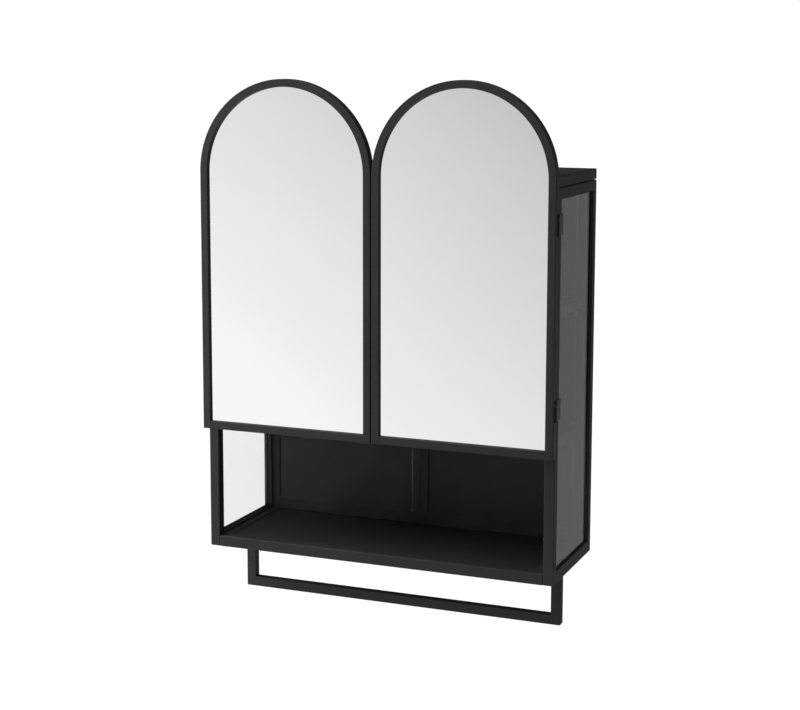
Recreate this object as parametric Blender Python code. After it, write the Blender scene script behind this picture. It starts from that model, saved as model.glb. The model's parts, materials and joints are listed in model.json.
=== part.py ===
"""Wall cabinet with two arched mirror doors, an open niche and a towel rail.

Units are metres, +Z up, +X to the right and -Y towards the person in front.
Heights are counted from the underside of the cabinet body; the parent empty
drops the whole model so that the origin lies on the wall, at the centre of
the hanging rail.
"""

import math

import bmesh
import bpy

# Driving dimensions.
GAP = 0.0003
BODY_WIDTH = 0.597
BODY_DEPTH = 0.2115
TUBE = 0.0166
SILL_HEIGHT = 0.0203
TUBE_EDGE = 0.0007
SHEET = 0.001
FRAME_HEIGHT = 0.6163
CAP_GROOVE = 0.0013
CAP_HEIGHT = 0.0168
CAP_HEM_INSET = 0.003
CAP_HEM_THICKNESS = 0.0012
CAP_EDGE = 0.0009
TRAY_HEIGHT = 0.018
PAN_EDGE = 0.0004
SHELF_HEIGHT = 0.016
MID_PANEL_BOTTOM = 0.202
INNER_SHELF_BOTTOM = 0.4102
INNER_SHELF_SETBACK = 0.004
FIELD_BORDER = 0.0134
FIELD_DEPTH = 0.0014

DOOR_SPAN = 0.600
DOOR_GAP = 0.002
DOOR_BOTTOM = 0.2035
DOOR_ARCH_CENTRE = 0.627
DOOR_THICKNESS = 0.016
DOOR_STANDOFF = 0.0019
DOOR_EDGE = 0.0008
DOOR_FACE = 0.0125
DOOR_REBATE = 0.004
MIRROR_RECESS = 0.005
MIRROR_THICKNESS = 0.004
BACKING_THICKNESS = 0.0058
COVER_THICKNESS = DOOR_THICKNESS - MIRROR_RECESS - MIRROR_THICKNESS - BACKING_THICKNESS
ARC_STEPS = 36

GLASS_THICKNESS = 0.004
GASKET_WIDTH = 0.0065
GASKET_LIP = 0.0015
GASKET_RECESS = 0.0025
GASKET_WEB = 0.0005

HINGE_HEIGHT = 0.033
HINGE_HEIGHTS = {"lower": 0.2768, "upper": 0.5606}
KNUCKLE_RADIUS = 0.003
PIN_RADIUS = 0.0012
PIN_INSET = 0.0004
HINGE_INSET_X = 0.0005
HINGE_INSET_Y = 0.0041
BODY_KNUCKLE = 0.0244
WASHER = 0.0014
LEAF_THICKNESS = 0.0015
LEAF_REACH = 0.020
LEAF_CLEARANCE = 0.0006
WING_REACH = 0.0072
WING_DEPTH = 0.0015
TAB_DEPTH = 0.0028
TAB_INSET = 0.001
NOTCH_CLEARANCE = 0.0008
NOTCH_REACH = 0.0075
NOTCH_DEPTH = 0.0012
TOOL_PAST = 0.002

RAIL_SPAN = 0.5644
RAIL_SECTION_DEPTH = 0.0135
RAIL_SECTION_HEIGHT = 0.0165
RAIL_LEG_WIDTH = 0.0166
RAIL_DROP = 0.0963
RAIL_EDGE = 0.0008

HANGING_RAIL_CENTRE = 0.578
HANGING_RAIL_HEIGHT = 0.040
HANGING_RAIL_THICKNESS = 0.003
KEYHOLE_SPREAD = 0.200
KEYHOLE_RADIUS = 0.006
KEYHOLE_SLOT = 0.003
KEYHOLE_DROP = 0.006
KEYHOLE_LENGTH = 0.016

SHELF_PIN_RADIUS = 0.0019
SHELF_PIN_LENGTH = 0.009
BACK_SEAM = 0.0004
BACK_LOWER_BORDER = 0.018
JOINT_STRIP_WIDTH = 0.024

CATCH_NEAR = 0.018
CATCH_FAR = 0.058
CATCH_TALL = 0.014
CATCH_SETBACK = 0.0014
CATCH_DEPTH = 0.0136
CATCH_EDGE = 0.0006
MAGNET_INSET = 0.006
MAGNET_TALL = 0.008
MAGNET_DROP = 0.003
MAGNET_PROUD = 0.0001
STRIKE_NEAR = 0.022
STRIKE_FAR = 0.054
STRIKE_TALL = 0.010
STRIKE_DROP = 0.002
STOP_RADIUS = 0.0036
STOP_INSET = 0.0043

# Planes worked out from the driving dimensions.
HALF_WIDTH = BODY_WIDTH / 2
INNER_X = HALF_WIDTH - TUBE
PANEL_X = INNER_X - GAP
FRONT_Y = -BODY_DEPTH
BACK_SHEET_Y = -0.012
BODY_TOP = FRAME_HEIGHT + CAP_GROOVE + CAP_HEIGHT
DOOR_BACK_Y = FRONT_Y - DOOR_STANDOFF
DOOR_FRONT_Y = DOOR_BACK_Y - DOOR_THICKNESS
DOOR_WIDTH = (DOOR_SPAN - DOOR_GAP) / 2
DOOR_OUTER_X = DOOR_SPAN / 2
DOOR_CENTRE_X = DOOR_OUTER_X - DOOR_WIDTH / 2
HINGE_X = DOOR_OUTER_X - HINGE_INSET_X
HINGE_Y = DOOR_BACK_Y - HINGE_INSET_Y
SIDES = {"left": -1, "right": 1}


def clear_scene():
    for item in list(bpy.data.objects):
        bpy.data.objects.remove(item, do_unlink=True)


def make_material(name, colour, roughness, metallic, transmission=0.0):
    material = bpy.data.materials.new(name)
    material.use_nodes = True
    shader = material.node_tree.nodes["Principled BSDF"]
    shader.inputs["Base Color"].default_value = (*colour, 1.0)
    shader.inputs["Roughness"].default_value = roughness
    shader.inputs["Metallic"].default_value = metallic
    shader.inputs["Transmission Weight"].default_value = transmission
    material.diffuse_color = (*colour, 1.0)
    return material


# Each finish makes a new material for one named sub-part.
def coated_steel(name):
    return make_material(name + "_coated_steel", (0.030, 0.030, 0.031), 0.50, 0.0)


def hinge_steel(name):
    return make_material(name + "_hinge_steel", (0.012, 0.012, 0.013), 0.38, 0.6)


def plated_steel(name):
    return make_material(name + "_plated_steel", (0.55, 0.55, 0.56), 0.28, 1.0)


def black_rubber(name):
    return make_material(name + "_rubber", (0.010, 0.010, 0.010), 0.75, 0.0)


def clear_glass(name):
    return make_material(name + "_glass", (0.93, 0.97, 0.95), 0.02, 0.0, 1.0)


def silvered_glass(name):
    return make_material(name + "_silvering", (0.92, 0.93, 0.93), 0.02, 1.0)


def dark_board(name):
    return make_material(name + "_board", (0.045, 0.042, 0.040), 0.80, 0.0)


def black_plastic(name):
    return make_material(name + "_plastic", (0.015, 0.015, 0.016), 0.45, 0.0)


def grey_nylon(name):
    return make_material(name + "_nylon", (0.08, 0.08, 0.08), 0.40, 0.0)


def add_empty(name, location, parent=None):
    empty = bpy.data.objects.new(name, None)
    empty.location = location
    empty.parent = parent
    bpy.context.collection.objects.link(empty)
    return empty


def finish_object(name, shape, finish, parent, origin=(0.0, 0.0, 0.0)):
    """Turn a bmesh in cabinet coordinates into an object under its parent."""
    bmesh.ops.translate(shape, verts=shape.verts, vec=[-value for value in origin])
    bmesh.ops.recalc_face_normals(shape, faces=shape.faces)
    mesh = bpy.data.meshes.new(name)
    shape.to_mesh(mesh)
    shape.free()
    if finish:
        mesh.materials.append(finish(name))
    item = bpy.data.objects.new(name, mesh)
    item.parent = parent
    bpy.context.collection.objects.link(item)
    return item


def soften_edges(item, width, segments=2):
    bevel = item.modifiers.new("soft_edges", "BEVEL")
    bevel.width = width
    bevel.segments = segments
    bevel.limit_method = "ANGLE"
    bevel.angle_limit = math.radians(40)


def add_box(shape, low, high):
    corners = bmesh.ops.create_cube(shape, size=1.0)["verts"]
    for corner in corners:
        for axis in range(3):
            corner.co[axis] = high[axis] if corner.co[axis] > 0 else low[axis]


def box_shape(low, high):
    shape = bmesh.new()
    add_box(shape, low, high)
    return shape


def mirrored(low, high, side):
    """Swap a box given for the right side over to the wanted side."""
    if side > 0:
        return low, high
    return (-high[0], low[1], low[2]), (-low[0], high[1], high[2])


def join_loops(shape, loops, closed):
    """Skin a row of equal loops; closed makes a ring, else the ends are capped."""
    rings = [[shape.verts.new(point) for point in loop] for loop in loops]
    count = len(rings[0])
    pairs = list(zip(rings, rings[1:]))
    if closed:
        pairs.append((rings[-1], rings[0]))
    for first, second in pairs:
        for index in range(count):
            after = (index + 1) % count
            shape.faces.new((first[index], first[after], second[after], second[index]))
    if not closed:
        shape.faces.new(rings[0])
        shape.faces.new(list(reversed(rings[-1])))


def flat_loop(x_low, x_high, y_low, y_high, z, inset=0.0):
    return [
        (x_low + inset, y_low + inset, z),
        (x_high - inset, y_low + inset, z),
        (x_high - inset, y_high - inset, z),
        (x_low + inset, y_high - inset, z),
    ]


def upright_loop(x_low, x_high, y, z_low, z_high, inset=0.0):
    return [
        (x_low + inset, y, z_low + inset),
        (x_high - inset, y, z_low + inset),
        (x_high - inset, y, z_high - inset),
        (x_low + inset, y, z_high - inset),
    ]


def side_loop(x, inset):
    """Rectangle on a side frame's plane; inside the tubes it starts above the taller sill."""
    foot = inset + SILL_HEIGHT - TUBE if inset > 0 else 0.0
    return [
        (x, FRONT_Y + inset, foot),
        (x, -inset, foot),
        (x, -inset, FRAME_HEIGHT - inset),
        (x, FRONT_Y + inset, FRAME_HEIGHT - inset),
    ]


def arch_loop(centre_x, y, inset):
    """Outline of a door: straight sides and foot under a half-round top."""
    radius = DOOR_WIDTH / 2 - inset
    foot = DOOR_BOTTOM + inset
    points = [(centre_x - radius, y, foot), (centre_x + radius, y, foot)]
    for step in range(ARC_STEPS + 1):
        angle = math.pi * step / ARC_STEPS
        across = centre_x + radius * math.cos(angle)
        points.append((across, y, DOOR_ARCH_CENTRE + radius * math.sin(angle)))
    return points


def cylinder_shape(centre, low_z, high_z, radius, steps=20):
    shape = bmesh.new()
    loops = []
    for z in (low_z, high_z):
        loop = []
        for step in range(steps):
            angle = math.tau * step / steps
            across = centre[0] + radius * math.cos(angle)
            loop.append((across, centre[1] + radius * math.sin(angle), z))
        loops.append(loop)
    join_loops(shape, loops, closed=False)
    return shape


def disc_shape(centre, low_y, high_y, radius, steps=16):
    """Round disc whose axis runs along Y."""
    shape = bmesh.new()
    loops = []
    for y in (low_y, high_y):
        loop = []
        for step in range(steps):
            angle = math.tau * step / steps
            across = centre[0] + radius * math.cos(angle)
            loop.append((across, y, centre[1] + radius * math.sin(angle)))
        loops.append(loop)
    join_loops(shape, loops, closed=False)
    return shape


def apply_boolean(item, shape, operation, origin=(0.0, 0.0, 0.0)):
    cutter = finish_object(item.name + "_tool", shape, None, item.parent, origin)
    cutter.hide_render = True
    cutter.display_type = "WIRE"
    modifier = item.modifiers.new(operation.lower(), "BOOLEAN")
    modifier.operation = operation
    modifier.solver = "EXACT"
    modifier.object = cutter


def smooth_round(item):
    item.data.shade_smooth()
    item.data.set_sharp_from_angle(angle=math.radians(35))


def build_side_frame(side_name, cabinet):
    side = SIDES[side_name]
    shape = bmesh.new()
    loops = []
    for x, inset in ((HALF_WIDTH, 0.0), (INNER_X, 0.0), (INNER_X, TUBE), (HALF_WIDTH, TUBE)):
        loops.append(side_loop(side * x, inset))
    join_loops(shape, loops, closed=True)
    frame = finish_object("side_frame_" + side_name, shape, coated_steel, cabinet)
    soften_edges(frame, TUBE_EDGE)


def build_side_glazing(side_name, cabinet):
    side = SIDES[side_name]
    outer_x = HALF_WIDTH - GASKET_RECESS
    inner_x = outer_x - GASKET_WIDTH
    middle_x = (outer_x + inner_x) / 2
    slot = GLASS_THICKNESS / 2 + GAP
    edge = TUBE + GAP
    lip = TUBE + GASKET_LIP
    slot_floor = edge + GASKET_WEB
    profile = (
        (outer_x, edge),
        (inner_x, edge),
        (inner_x, lip),
        (middle_x - slot, lip),
        (middle_x - slot, slot_floor),
        (middle_x + slot, slot_floor),
        (middle_x + slot, lip),
        (outer_x, lip),
    )
    shape = bmesh.new()
    join_loops(shape, [side_loop(side * x, inset) for x, inset in profile], closed=True)
    finish_object("glass_gasket_" + side_name, shape, black_rubber, cabinet)

    pane = bmesh.new()
    half = GLASS_THICKNESS / 2
    loops = [side_loop(side * (middle_x + reach), slot_floor + GAP) for reach in (-half, half)]
    join_loops(pane, loops, closed=False)
    finish_object("side_glass_" + side_name, pane, clear_glass, cabinet)


def build_top_cap(cabinet):
    """Folded lid whose hem sits on the frames and leaves a shadow groove."""
    under = FRAME_HEIGHT + CAP_GROOVE
    seat = FRAME_HEIGHT + GAP
    hem_inset = CAP_HEM_INSET
    hem = hem_inset + CAP_HEM_THICKNESS
    loops = []
    for z, inset in (
        (BODY_TOP, 0.0),
        (under, 0.0),
        (under, hem_inset),
        (seat, hem_inset),
        (seat, hem),
        (BODY_TOP - SHEET, hem),
    ):
        loops.append(flat_loop(-HALF_WIDTH, HALF_WIDTH, FRONT_Y, 0.0, z, inset))
    shape = bmesh.new()
    join_loops(shape, loops, closed=False)
    cap = finish_object("top_cap", shape, coated_steel, cabinet)
    soften_edges(cap, CAP_EDGE)


def pan_shape(y_low, y_high, top, height):
    """Downward-open folded shelf with a shallow field pressed into its top."""
    slope = FIELD_BORDER + FIELD_DEPTH
    bottom = top - height
    loops = []
    for z, inset in (
        (top - FIELD_DEPTH, slope),
        (top, FIELD_BORDER),
        (top, 0.0),
        (bottom, 0.0),
        (bottom, SHEET),
        (top - SHEET, SHEET),
        (top - SHEET, FIELD_BORDER),
        (top - SHEET - FIELD_DEPTH, slope),
    ):
        loops.append(flat_loop(-PANEL_X, PANEL_X, y_low, y_high, z, inset))
    shape = bmesh.new()
    join_loops(shape, loops, closed=False)
    return shape


def build_shelves(cabinet):
    back = BACK_SHEET_Y - GAP
    shelves = {
        "bottom_tray": (FRONT_Y, -GAP, TRAY_HEIGHT, TRAY_HEIGHT),
        "mid_panel": (FRONT_Y + GAP, back, MID_PANEL_BOTTOM + TRAY_HEIGHT, TRAY_HEIGHT),
        "inner_shelf": (
            FRONT_Y + INNER_SHELF_SETBACK,
            back,
            INNER_SHELF_BOTTOM + SHELF_HEIGHT,
            SHELF_HEIGHT,
        ),
    }
    for name, (y_low, y_high, top, height) in shelves.items():
        shape = pan_shape(y_low, y_high, top, height)
        shelf = finish_object(name, shape, coated_steel, cabinet)
        soften_edges(shelf, PAN_EDGE)


def build_shelf_pins(cabinet):
    """Four pegs in the uprights that carry the inner shelf."""
    radius = SHELF_PIN_RADIUS
    top = INNER_SHELF_BOTTOM - GAP
    depths = {"front": FRONT_Y + TUBE / 2, "rear": -TUBE + radius + GAP}
    for side_name, side in SIDES.items():
        for end, y in depths.items():
            shape = bmesh.new()
            loops = []
            for x in (INNER_X - GAP, INNER_X - GAP - SHELF_PIN_LENGTH):
                loop = []
                for step in range(16):
                    angle = math.tau * step / 16
                    height = top - radius + radius * math.sin(angle)
                    loop.append((side * x, y + radius * math.cos(angle), height))
                loops.append(loop)
            join_loops(shape, loops, closed=False)
            name = "shelf_pin_" + end + "_" + side_name
            pin = finish_object(name, shape, plated_steel, cabinet)
            smooth_round(pin)


def build_back_sheets(cabinet):
    low_z = TRAY_HEIGHT + GAP
    high_z = FRAME_HEIGHT
    front = BACK_SHEET_Y
    for side_name, side in SIDES.items():
        x_low, x_high = sorted((side * BACK_SEAM, side * PANEL_X))
        slope = FIELD_BORDER + FIELD_DEPTH
        lift = BACK_LOWER_BORDER - FIELD_BORDER
        shape = bmesh.new()
        loops = []
        for y, inset in (
            (front + FIELD_DEPTH, slope),
            (front, FIELD_BORDER),
            (front, 0.0),
            (front + SHEET, 0.0),
            (front + SHEET, FIELD_BORDER),
            (front + SHEET + FIELD_DEPTH, slope),
        ):
            base = low_z + (lift if inset > 0 else 0.0)
            loops.append(upright_loop(x_low, x_high, y, base, high_z, inset))
        join_loops(shape, loops, closed=False)
        finish_object("back_panel_" + side_name, shape, coated_steel, cabinet)

    strip_front = BACK_SHEET_Y + SHEET + GAP
    half = JOINT_STRIP_WIDTH / 2
    strip = box_shape((-half, strip_front, low_z), (half, strip_front + SHEET, high_z))
    finish_object("back_joint_strip", strip, coated_steel, cabinet)


def build_front_rail(cabinet):
    low = (-PANEL_X, FRONT_Y, FRAME_HEIGHT - TUBE)
    high = (PANEL_X, FRONT_Y + TUBE, FRAME_HEIGHT - GAP)
    rail = finish_object("front_top_rail", box_shape(low, high), coated_steel, cabinet)
    soften_edges(rail, TUBE_EDGE)


def build_hanging_rail(cabinet):
    """Flat bar behind the back sheets with two keyholes for the wall screws."""
    low_z = HANGING_RAIL_CENTRE - HANGING_RAIL_HEIGHT / 2
    high_z = HANGING_RAIL_CENTRE + HANGING_RAIL_HEIGHT / 2
    shape = box_shape((-PANEL_X, -HANGING_RAIL_THICKNESS, low_z), (PANEL_X, 0.0, high_z))
    rail = finish_object("hanging_rail", shape, plated_steel, cabinet)
    reach = TOOL_PAST
    for side in SIDES.values():
        centre = (side * KEYHOLE_SPREAD, HANGING_RAIL_CENTRE - KEYHOLE_DROP)
        entry = disc_shape(centre, -HANGING_RAIL_THICKNESS - reach, reach, KEYHOLE_RADIUS)
        apply_boolean(rail, entry, "DIFFERENCE")
        low = (centre[0] - KEYHOLE_SLOT, -HANGING_RAIL_THICKNESS - reach, centre[1])
        high = (centre[0] + KEYHOLE_SLOT, reach, centre[1] + KEYHOLE_LENGTH)
        apply_boolean(rail, box_shape(low, high), "DIFFERENCE")


def build_towel_rail(cabinet):
    """Square-cornered U that hangs from the tray, half way back."""
    outer = RAIL_SPAN / 2
    inner = outer - RAIL_LEG_WIDTH
    tenon = PANEL_X - SHEET - GAP
    front = -BODY_DEPTH / 2 - RAIL_SECTION_DEPTH / 2
    back = front + RAIL_SECTION_DEPTH
    shoulder = -GAP
    top = TRAY_HEIGHT - FIELD_DEPTH - SHEET - GAP
    bar_top = RAIL_SECTION_HEIGHT - RAIL_DROP
    half = [(inner, bar_top), (inner, top), (tenon, top), (tenon, shoulder)]
    half += [(outer, shoulder), (outer, -RAIL_DROP)]
    outline = half + [(-x, z) for x, z in reversed(half)]
    shape = bmesh.new()
    join_loops(shape, [[(x, y, z) for x, z in outline] for y in (front, back)], closed=False)
    rail = finish_object("towel_rail", shape, coated_steel, cabinet)
    soften_edges(rail, RAIL_EDGE)


def build_catch(side_name, cabinet):
    """Magnetic catch under the front top rail, near the cabinet's middle."""
    side = SIDES[side_name]
    top = FRAME_HEIGHT - TUBE - GAP
    face = FRONT_Y + CATCH_SETBACK
    low, high = mirrored(
        (CATCH_NEAR, face, top - CATCH_TALL), (CATCH_FAR, face + CATCH_DEPTH, top), side
    )
    name = "catch_housing_" + side_name
    housing = finish_object(name, box_shape(low, high), black_plastic, cabinet)
    soften_edges(housing, CATCH_EDGE)
    magnet_top = top - MAGNET_DROP
    low, high = mirrored(
        (CATCH_NEAR + MAGNET_INSET, FRONT_Y - MAGNET_PROUD, magnet_top - MAGNET_TALL),
        (CATCH_FAR - MAGNET_INSET, face - GAP, magnet_top),
        side,
    )
    finish_object("catch_magnet_" + side_name, box_shape(low, high), plated_steel, cabinet)


def build_door(side_name, axis, origin):
    """Rebated arch frame with its mirror, backing board and rear cover."""
    side = SIDES[side_name]
    centre = side * DOOR_CENTRE_X
    rebate = DOOR_FACE - DOOR_REBATE
    mirror_front = DOOR_FRONT_Y + MIRROR_RECESS
    shape = bmesh.new()
    loops = []
    for y, inset in (
        (DOOR_FRONT_Y, 0.0),
        (DOOR_BACK_Y, 0.0),
        (DOOR_BACK_Y, rebate),
        (mirror_front - GAP, rebate),
        (mirror_front - GAP, DOOR_FACE),
        (DOOR_FRONT_Y, DOOR_FACE),
    ):
        loops.append(arch_loop(centre, y, inset))
    join_loops(shape, loops, closed=True)
    frame = finish_object("door_frame_" + side_name, shape, coated_steel, axis, origin)
    soften_edges(frame, DOOR_EDGE)
    for height in HINGE_HEIGHTS.values():
        cut_hinge_notch(frame, side, height, origin)
    smooth_round(frame)

    layer_front = mirror_front
    layers = (
        ("mirror_", MIRROR_THICKNESS, silvered_glass),
        ("mirror_backing_", BACKING_THICKNESS, dark_board),
        ("door_cover_", COVER_THICKNESS, coated_steel),
    )
    for name, thickness, finish in layers:
        faces = (layer_front, layer_front + thickness - GAP)
        layer = bmesh.new()
        join_loops(layer, [arch_loop(centre, y, rebate + GAP) for y in faces], closed=False)
        finish_object(name + side_name, layer, finish, axis, origin)
        layer_front += thickness


def cut_hinge_notch(frame, side, height, origin):
    """Room in the door's rear outer edge for the knuckles and the door leaf."""
    half = HINGE_HEIGHT / 2 + LEAF_CLEARANCE
    past = TOOL_PAST
    clearance = KNUCKLE_RADIUS + NOTCH_CLEARANCE
    low, high = mirrored(
        (HINGE_X - clearance, HINGE_Y - clearance, height - half),
        (DOOR_OUTER_X + past, DOOR_BACK_Y + past, height + half),
        side,
    )
    apply_boolean(frame, box_shape(low, high), "DIFFERENCE", origin)
    low, high = mirrored(
        (HINGE_X - NOTCH_REACH, HINGE_Y + NOTCH_DEPTH, height - half),
        (HINGE_X, DOOR_BACK_Y + past, height + half),
        side,
    )
    apply_boolean(frame, box_shape(low, high), "DIFFERENCE", origin)


def bored_knuckle(name, side, low_z, high_z, plates, parent, origin):
    """Hinge barrel joined to its flat plates, with the pin's hole through it."""
    centre = (side * HINGE_X, HINGE_Y)
    barrel = cylinder_shape(centre, low_z, high_z, KNUCKLE_RADIUS)
    leaf = finish_object(name, barrel, hinge_steel, parent, origin)
    for low, high in plates:
        low, high = mirrored(low, high, side)
        apply_boolean(leaf, box_shape(low, high), "UNION", origin)
    bore = cylinder_shape(centre, low_z - TOOL_PAST, high_z + TOOL_PAST, PIN_RADIUS + GAP)
    apply_boolean(leaf, bore, "DIFFERENCE", origin)
    smooth_round(leaf)


def build_hinge(side_name, level, cabinet, axis, origin):
    side = SIDES[side_name]
    tag = level + "_" + side_name
    height = HINGE_HEIGHTS[level]
    low_z = height - HINGE_HEIGHT / 2
    high_z = height + HINGE_HEIGHT / 2
    split = low_z + BODY_KNUCKLE
    plate_x = HALF_WIDTH + GAP
    clear = KNUCKLE_RADIUS + LEAF_CLEARANCE

    arm_low = (plate_x, HINGE_Y, low_z)
    arm_high = (plate_x + LEAF_THICKNESS, FRONT_Y, split)
    plate_low = (plate_x, HINGE_Y + clear + LEAF_CLEARANCE, low_z)
    plate_high = (plate_x + LEAF_THICKNESS, FRONT_Y + LEAF_REACH, high_z)
    plates = [(arm_low, arm_high), (plate_low, plate_high)]
    name = "hinge_body_leaf_" + tag
    bored_knuckle(name, side, low_z, split, plates, cabinet, (0.0, 0.0, 0.0))

    top_low = split + 2 * GAP + WASHER
    wing_low = (HINGE_X - WING_REACH, HINGE_Y + WING_DEPTH, low_z)
    wing_high = (HINGE_X - clear, DOOR_BACK_Y - GAP, high_z)
    tab_high = (HINGE_X - TAB_INSET, HINGE_Y + TAB_DEPTH, high_z)
    plates = [(wing_low, wing_high), ((wing_low[0], wing_low[1], top_low), tab_high)]
    name = "hinge_door_leaf_" + tag
    bored_knuckle(name, side, top_low, high_z, plates, axis, origin)

    centre = (side * HINGE_X, HINGE_Y)
    washer_low = split + GAP
    ring = cylinder_shape(centre, washer_low, washer_low + WASHER, KNUCKLE_RADIUS)
    washer = finish_object("hinge_washer_" + tag, ring, grey_nylon, cabinet)
    bore = cylinder_shape(centre, low_z, high_z, PIN_RADIUS + GAP)
    apply_boolean(washer, bore, "DIFFERENCE")
    smooth_round(washer)

    pin = cylinder_shape(centre, low_z + PIN_INSET, high_z - PIN_INSET, PIN_RADIUS, steps=16)
    smooth_round(finish_object("hinge_pin_" + tag, pin, plated_steel, cabinet))


def build_door_fittings(side_name, axis, origin):
    """Strike plate for the catch and two soft stops on the door's rear face."""
    side = SIDES[side_name]
    face = DOOR_BACK_Y + GAP
    top = FRAME_HEIGHT - TUBE - GAP
    plate_top = top - STRIKE_DROP
    low, high = mirrored(
        (STRIKE_NEAR, face, plate_top - STRIKE_TALL),
        (STRIKE_FAR, FRONT_Y - MAGNET_PROUD - GAP, plate_top),
        side,
    )
    finish_object("strike_plate_" + side_name, box_shape(low, high), plated_steel, axis, origin)
    across = side * (DOOR_GAP / 2 + STOP_INSET)
    rail_middle = FRAME_HEIGHT - TUBE / 2
    heights = {"upper": rail_middle, "lower": DOOR_BOTTOM + STOP_INSET}
    for level, height in heights.items():
        disc = disc_shape((across, height), face, FRONT_Y - GAP, STOP_RADIUS)
        name = "door_stop_" + level + "_" + side_name
        stop = finish_object(name, disc, black_rubber, axis, origin)
        smooth_round(stop)


def build_cabinet():
    clear_scene()
    cabinet = add_empty("cabinet", (0.0, 0.0, -HANGING_RAIL_CENTRE))
    build_top_cap(cabinet)
    build_shelves(cabinet)
    build_shelf_pins(cabinet)
    build_back_sheets(cabinet)
    build_front_rail(cabinet)
    build_hanging_rail(cabinet)
    build_towel_rail(cabinet)
    for side_name, side in SIDES.items():
        build_side_frame(side_name, cabinet)
        build_side_glazing(side_name, cabinet)
        build_catch(side_name, cabinet)
        origin = (side * HINGE_X, HINGE_Y, 0.0)
        axis = add_empty(side_name + "_door_axis", origin, cabinet)
        build_door(side_name, axis, origin)
        build_door_fittings(side_name, axis, origin)
        for level in HINGE_HEIGHTS:
            build_hinge(side_name, level, cabinet, axis, origin)


build_cabinet()
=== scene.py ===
import json
import math

import bmesh
import bpy
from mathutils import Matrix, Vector

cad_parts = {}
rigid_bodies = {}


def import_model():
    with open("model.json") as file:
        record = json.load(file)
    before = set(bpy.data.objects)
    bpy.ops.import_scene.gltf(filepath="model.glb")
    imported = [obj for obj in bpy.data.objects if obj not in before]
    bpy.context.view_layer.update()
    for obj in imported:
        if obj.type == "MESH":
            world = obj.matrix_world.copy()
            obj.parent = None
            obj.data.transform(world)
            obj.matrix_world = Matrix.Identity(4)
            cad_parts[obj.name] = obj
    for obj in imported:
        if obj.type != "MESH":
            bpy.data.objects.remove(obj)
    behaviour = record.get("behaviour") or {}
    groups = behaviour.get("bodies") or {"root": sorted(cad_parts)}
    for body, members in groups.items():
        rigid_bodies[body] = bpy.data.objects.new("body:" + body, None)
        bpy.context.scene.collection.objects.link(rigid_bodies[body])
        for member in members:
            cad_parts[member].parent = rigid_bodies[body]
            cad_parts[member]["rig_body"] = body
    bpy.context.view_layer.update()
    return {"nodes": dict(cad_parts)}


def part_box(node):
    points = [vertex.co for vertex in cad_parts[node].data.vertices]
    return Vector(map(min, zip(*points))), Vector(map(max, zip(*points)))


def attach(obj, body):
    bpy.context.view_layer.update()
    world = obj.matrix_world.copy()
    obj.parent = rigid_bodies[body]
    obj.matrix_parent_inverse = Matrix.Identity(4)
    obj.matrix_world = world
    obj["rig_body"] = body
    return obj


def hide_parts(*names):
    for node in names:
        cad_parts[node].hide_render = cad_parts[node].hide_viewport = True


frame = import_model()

scene = bpy.context.scene
nodes = frame["nodes"]
sides = {"left": -1, "right": 1}
levels = ("lower", "upper")
gap = 0.0003  # the frame's clearance between neighbouring pieces
white = (1.0, 1.0, 1.0)


# small tools for shader nodes

def newFinish(name, tone, roughness, metallic=0.0):
    finish = bpy.data.materials.new(name)
    finish.use_nodes = True
    tree = finish.node_tree
    shader = tree.nodes["Principled BSDF"]
    shader.inputs["Base Color"].default_value = (*tone, 1.0)
    shader.inputs["Roughness"].default_value = roughness
    shader.inputs["Metallic"].default_value = metallic
    where = tree.nodes.new("ShaderNodeTexCoord").outputs["Object"]
    return finish, tree, shader, where


def noise(tree, where, scale, detail=2.0, stretch=None):
    if stretch:
        mapping = tree.nodes.new("ShaderNodeMapping")
        mapping.inputs["Scale"].default_value = stretch
        tree.links.new(where, mapping.inputs["Vector"])
        where = mapping.outputs["Vector"]
    node = tree.nodes.new("ShaderNodeTexNoise")
    node.inputs["Scale"].default_value = scale
    node.inputs["Detail"].default_value = detail
    tree.links.new(where, node.inputs["Vector"])
    return node.outputs["Fac"]


# most of a noise lies between the two values of these spans
wideSpan = (0.3, 0.7)
middleSpan = (0.35, 0.65)


def spread(tree, value, fromLow, fromHigh, toLow=0.0, toHigh=1.0):
    node = tree.nodes.new("ShaderNodeMapRange")
    settings = (("From Min", fromLow), ("From Max", fromHigh), ("To Min", toLow), ("To Max", toHigh))
    for socket, number in settings:
        node.inputs[socket].default_value = number
    tree.links.new(value, node.inputs["Value"])
    return node.outputs["Result"]


# the value is a colour, a number or the output of another node
def feed(tree, socket, value):
    if isinstance(value, tuple):
        socket.default_value = (*value, 1.0)
    elif isinstance(value, (int, float)):
        socket.default_value = value
    else:
        tree.links.new(value, socket)


def calculate(tree, operation, first, second):
    node = tree.nodes.new("ShaderNodeMath")
    node.operation = operation
    feed(tree, node.inputs[0], first)
    feed(tree, node.inputs[1], second)
    return node.outputs["Value"]


def blendTones(tree, share, first, second):
    node = tree.nodes.new("ShaderNodeMix")
    node.data_type = "RGBA"
    feed(tree, node.inputs[0], share)
    feed(tree, node.inputs[6], first)
    feed(tree, node.inputs[7], second)
    return node.outputs[2]


def blendValues(tree, share, first, second):
    node = tree.nodes.new("ShaderNodeMix")
    feed(tree, node.inputs[0], share)
    feed(tree, node.inputs[2], first)
    feed(tree, node.inputs[3], second)
    return node.outputs[0]


def bump(tree, height, distance, strength=1.0, after=None):
    node = tree.nodes.new("ShaderNodeBump")
    node.inputs["Distance"].default_value = distance
    node.inputs["Strength"].default_value = strength
    tree.links.new(height, node.inputs["Height"])
    if after:
        tree.links.new(after, node.inputs["Normal"])
    return node.outputs["Normal"]


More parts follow.
